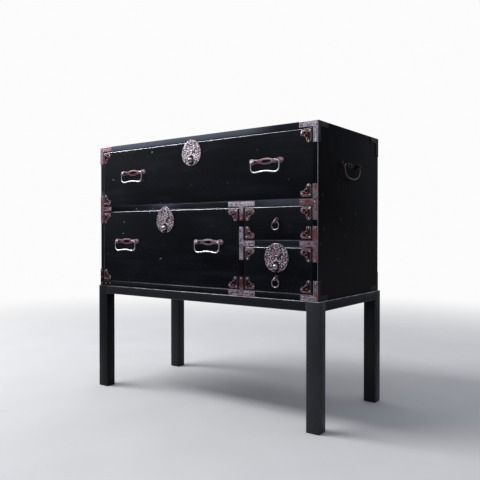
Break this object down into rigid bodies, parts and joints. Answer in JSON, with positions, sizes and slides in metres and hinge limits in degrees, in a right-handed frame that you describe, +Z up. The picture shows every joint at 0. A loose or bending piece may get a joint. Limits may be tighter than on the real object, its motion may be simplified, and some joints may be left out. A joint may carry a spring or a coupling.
{
  "type": "clothing tansu",
  "caption": "Black-lacquered clothing chest with flush drawers, forged iron corner straps, lock plates, bail handles and ring pulls, on a plain legged stand.",
  "frame": {"origin": "on the floor under the middle of the chest", "axes": "+Z up, +X to the right of a person who faces the drawers, -Y out of the drawers' fronts"},
  "size_m": [0.938, 0.4365, 0.8803],
  "materials": {
    "chest_lacquer": "worn black lacquer, glossy, with fine scratches and chips",
    "stand_lacquer": "plain black paint, satin",
    "bare_wood": "planed paulownia, unfinished",
    "forged_iron": "forged and engraved iron, brown with rust",
    "bright_iron": "iron rubbed bright by hands"
  },
  "bodies": {
    "chest": {"stand_leg_front_left": "stand_lacquer", "stand_leg_front_right": "stand_lacquer", "stand_leg_back_left": "stand_lacquer", "stand_leg_back_right": "stand_lacquer", "stand_rail_front": "stand_lacquer", "stand_rail_back": "stand_lacquer", "stand_rail_left": "stand_lacquer", "stand_rail_right": "stand_lacquer", "top_board": "chest_lacquer", "bottom_board": "chest_lacquer", "left_side_board": "chest_lacquer", "right_side_board": "chest_lacquer", "middle_shelf": "chest_lacquer", "lower_divider": "chest_lacquer", "small_shelf": "chest_lacquer", "back_panel": "bare_wood", "corner_iron_top_left": "forged_iron", "corner_iron_top_right": "forged_iron", "corner_iron_bottom_left": "forged_iron", "corner_iron_bottom_right": "forged_iron", "tee_iron_left": "forged_iron", "tee_iron_right_upper": "forged_iron", "tee_iron_right_lower": "forged_iron", "tee_iron_centre_upper": "forged_iron", "tee_iron_centre_middle": "forged_iron", "tee_iron_centre_lower": "forged_iron", "side_left_handle_plate": "forged_iron", "side_right_handle_plate": "forged_iron"},
    "upper_drawer": {"upper_drawer_front": "chest_lacquer", "upper_drawer_box": "bare_wood", "upper_drawer_bottom": "bare_wood", "upper_lock_plate": "forged_iron", "upper_left_handle_plate": "forged_iron", "upper_right_handle_plate": "forged_iron"},
    "wide_drawer": {"wide_drawer_front": "chest_lacquer", "wide_drawer_box": "bare_wood", "wide_drawer_bottom": "bare_wood", "wide_lock_plate": "forged_iron", "wide_left_handle_plate": "forged_iron", "wide_right_handle_plate": "forged_iron"},
    "small_drawer": {"small_drawer_front": "chest_lacquer", "small_drawer_box": "bare_wood", "small_drawer_bottom": "bare_wood", "small_ring_eye": "forged_iron"},
    "deep_drawer": {"deep_drawer_front": "chest_lacquer", "deep_drawer_box": "bare_wood", "deep_drawer_bottom": "bare_wood", "deep_lock_plate": "forged_iron", "deep_ring_eye": "forged_iron"},
    "upper_left_bail": {"upper_left_handle_bail": "bright_iron"},
    "upper_right_bail": {"upper_right_handle_bail": "bright_iron"},
    "wide_left_bail": {"wide_left_handle_bail": "bright_iron"},
    "wide_right_bail": {"wide_right_handle_bail": "bright_iron"},
    "side_left_bail": {"side_left_handle_bail": "forged_iron"},
    "side_right_bail": {"side_right_handle_bail": "forged_iron"},
    "small_pull_ring": {"small_ring": "bright_iron"},
    "deep_pull_ring": {"deep_ring": "bright_iron"},
    "upper_bolt": {"upper_lock_bolt": "bright_iron"},
    "wide_bolt": {"wide_lock_bolt": "bright_iron"},
    "deep_bolt": {"deep_lock_bolt": "bright_iron"}
  },
  "joints": [
    {"name": "upper_drawer_slide", "type": "slide", "parent": "chest", "child": "upper_drawer", "axis": [0, -1, 0], "range_m": [0, 0.33]},
    {"name": "wide_drawer_slide", "type": "slide", "parent": "chest", "child": "wide_drawer", "axis": [0, -1, 0], "range_m": [0, 0.33]},
    {"name": "small_drawer_slide", "type": "slide", "parent": "chest", "child": "small_drawer", "axis": [0, -1, 0], "range_m": [0, 0.33]},
    {"name": "deep_drawer_slide", "type": "slide", "parent": "chest", "child": "deep_drawer", "axis": [0, -1, 0], "range_m": [0, 0.33]},
    {"name": "upper_left_bail_swing", "type": "hinge", "parent": "upper_drawer", "child": "upper_left_bail", "pos_m": [-0.28198, -0.2185, 0.77691], "axis": [-1, 0, 0], "range_deg": [-8, 170]},
    {"name": "upper_right_bail_swing", "type": "hinge", "parent": "upper_drawer", "child": "upper_right_bail", "pos_m": [0.28198, -0.2185, 0.77691], "axis": [-1, 0, 0], "range_deg": [-8, 170]},
    {"name": "wide_left_bail_swing", "type": "hinge", "parent": "wide_drawer", "child": "wide_left_bail", "pos_m": [-0.31496, -0.2185, 0.53585], "axis": [-1, 0, 0], "range_deg": [-8, 170]},
    {"name": "wide_right_bail_swing", "type": "hinge", "parent": "wide_drawer", "child": "wide_right_bail", "pos_m": [0.06047, -0.2185, 0.53585], "axis": [-1, 0, 0], "range_deg": [-8, 170]},
    {"name": "side_left_bail_swing", "type": "hinge", "parent": "chest", "child": "side_left_bail", "pos_m": [-0.463, -0.0055, 0.77083], "axis": [0, 1, 0], "range_deg": [-5, 165]},
    {"name": "side_right_bail_swing", "type": "hinge", "parent": "chest", "child": "side_right_bail", "pos_m": [0.463, -0.0055, 0.77083], "axis": [0, -1, 0], "range_deg": [-5, 165]},
    {"name": "small_ring_swing", "type": "hinge", "parent": "small_drawer", "child": "small_pull_ring", "pos_m": [0.31825, -0.2165, 0.5984], "axis": [-1, 0, 0], "range_deg": [-8, 165]},
    {"name": "deep_ring_swing", "type": "hinge", "parent": "deep_drawer", "child": "deep_pull_ring", "pos_m": [0.31825, -0.2165, 0.42991], "axis": [-1, 0, 0], "range_deg": [-8, 120]},
    {"name": "upper_bolt_slide", "type": "slide", "parent": "upper_drawer", "child": "upper_bolt", "axis": [0, 0, 1], "range_m": [0, 0.007]},
    {"name": "wide_bolt_slide", "type": "slide", "parent": "wide_drawer", "child": "wide_bolt", "axis": [0, 0, 1], "range_m": [0, 0.007]},
    {"name": "deep_bolt_slide", "type": "slide", "parent": "deep_drawer", "child": "deep_bolt", "axis": [0, 0, 1], "range_m": [0, 0.007]}
  ]
}
